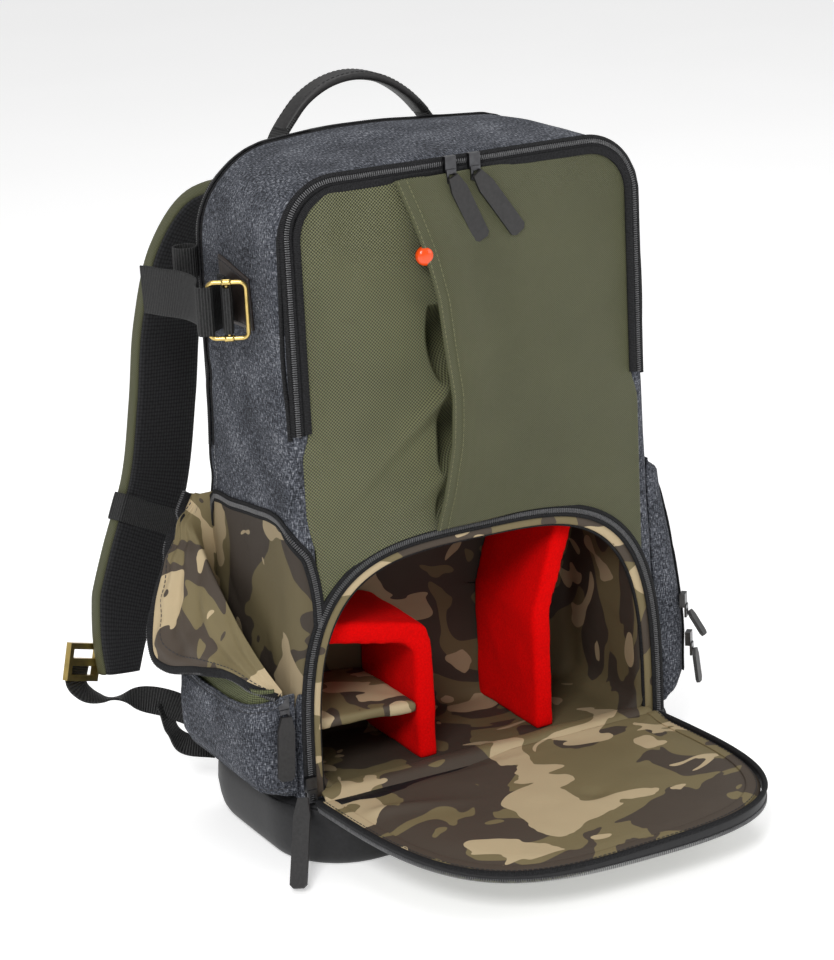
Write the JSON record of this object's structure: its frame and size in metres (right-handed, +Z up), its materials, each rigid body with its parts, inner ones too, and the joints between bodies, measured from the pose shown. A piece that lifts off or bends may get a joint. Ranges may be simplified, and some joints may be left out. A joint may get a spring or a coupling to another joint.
{
  "type": "camera backpack",
  "caption": "Camera backpack standing with its padded camera compartment open, the arched door folded down, one side pocket unzipped, and a harness behind.",
  "frame": {"origin": "on the flat underside of the base, below the middle of the body", "axes": "+X across the bag to the right of someone facing its front, +Y from the front to the harness side, +Z up"},
  "size_m": [0.4832, 0.3979, 0.5059],
  "materials": {
    "denim": "heathered woven cloth",
    "nylon": "coarse ballistic weave",
    "camo": "printed lining cloth",
    "felt": "brushed padding cloth",
    "webbing": "ribbed webbing and tape",
    "airmesh": "spacer mesh",
    "boot": "coated cloth",
    "leather": "matt",
    "brass": "satin",
    "gunmetal": "dark plated",
    "enamel": "gloss"
  },
  "bodies": {
    "root": {"body_shell": "denim", "base_boot": "boot", "back_panel": "airmesh", "camera_liner": "camo", "divider_left": "felt", "divider_right": "felt", "divider_shelf": "camo", "front_panel_under": "nylon", "front_panel_over": "nylon", "front_zip": "webbing", "rear_zip": "webbing", "door_zip": "webbing", "camera_door": "camo", "door_rim": "webbing", "left_pocket_pouch": "denim", "left_pocket_flap": "camo", "left_pocket_lining": "camo", "left_pocket_zip": "webbing", "left_mesh_pocket": "nylon", "left_slip_pocket": "denim", "right_pocket": "denim", "right_pocket_zip": "webbing", "grab_handle": "webbing", "side_patch": "leather", "side_buckle": "brass", "side_strap": "webbing", "side_buckle_loop": "webbing", "side_strap_loop": "webbing", "shoulder_strap_left": "airmesh", "ladder_lock_left": "brass", "lower_webbing_left": "webbing", "strap_keeper_left": "webbing", "shoulder_strap_right": "airmesh", "ladder_lock_right": "brass", "lower_webbing_right": "webbing", "strap_keeper_right": "webbing", "front_left_slider": "gunmetal", "front_left_pull": "leather", "front_right_slider": "gunmetal", "front_right_pull": "leather", "door_slider": "gunmetal", "door_pull": "leather", "left_pocket_slider": "gunmetal", "left_pocket_pull": "leather", "right_pocket_upper_slider": "gunmetal", "right_pocket_upper_pull": "leather", "right_pocket_lower_slider": "gunmetal", "right_pocket_lower_pull": "leather", "front_button": "enamel"}
  },
  "joints": []
}
